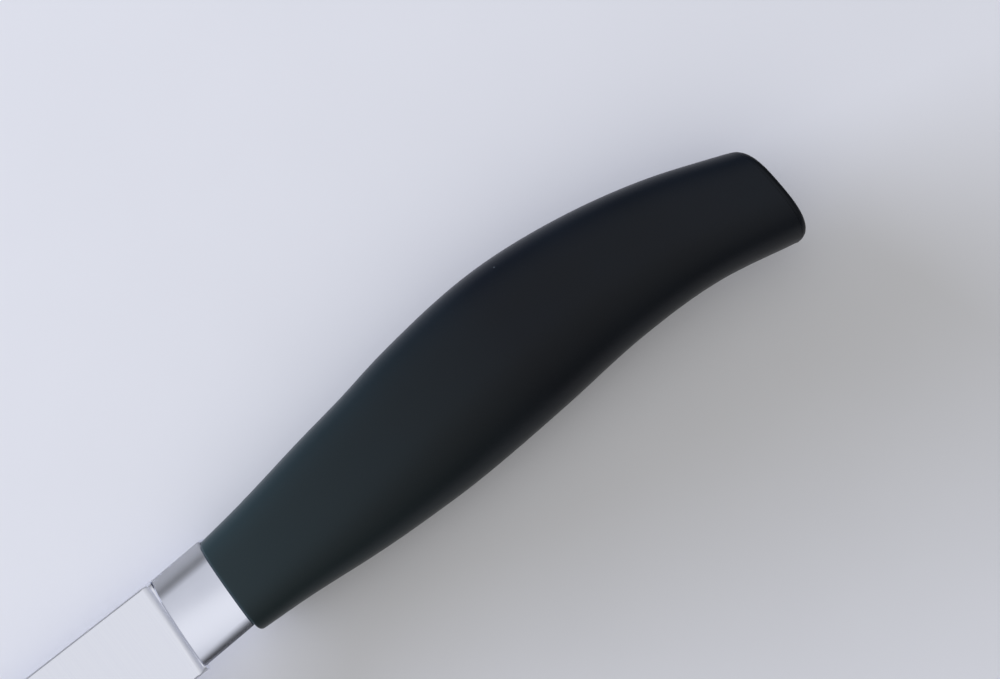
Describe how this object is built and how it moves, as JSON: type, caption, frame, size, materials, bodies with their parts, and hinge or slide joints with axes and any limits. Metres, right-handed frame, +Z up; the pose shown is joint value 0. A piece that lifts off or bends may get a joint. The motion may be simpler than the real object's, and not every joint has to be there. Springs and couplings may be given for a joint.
{
  "type": "santoku knife",
  "caption": "Santoku kitchen knife lying on its side: broad wedge-ground blade with a dropped nose, steel bolster and a soft black moulded handle with a humped back.",
  "frame": {"origin": "on the table under the middle of the knife's box, with the knife lying on its right side", "axes": "+X from the point of the blade to the butt, +Y from the edge towards the spine, +Z up from the table"},
  "size_m": [0.3084, 0.0562, 0.0225],
  "materials": {
    "blade_steel": "satin ground stainless steel",
    "bolster_steel": "polished stainless steel",
    "soft_grip": "matt moulded elastomer, near black",
    "cap_plastic": "matt moulded plastic, near black",
    "core_plastic": "moulded plastic, dark grey",
    "pin_steel": "drawn steel"
  },
  "bodies": {
    "root": {"blade": "blade_steel", "bolster": "bolster_steel", "grip": "soft_grip", "butt_cap": "cap_plastic", "core_left": "core_plastic", "core_right": "core_plastic", "front_pin": "pin_steel", "rear_pin": "pin_steel"}
  },
  "joints": []
}
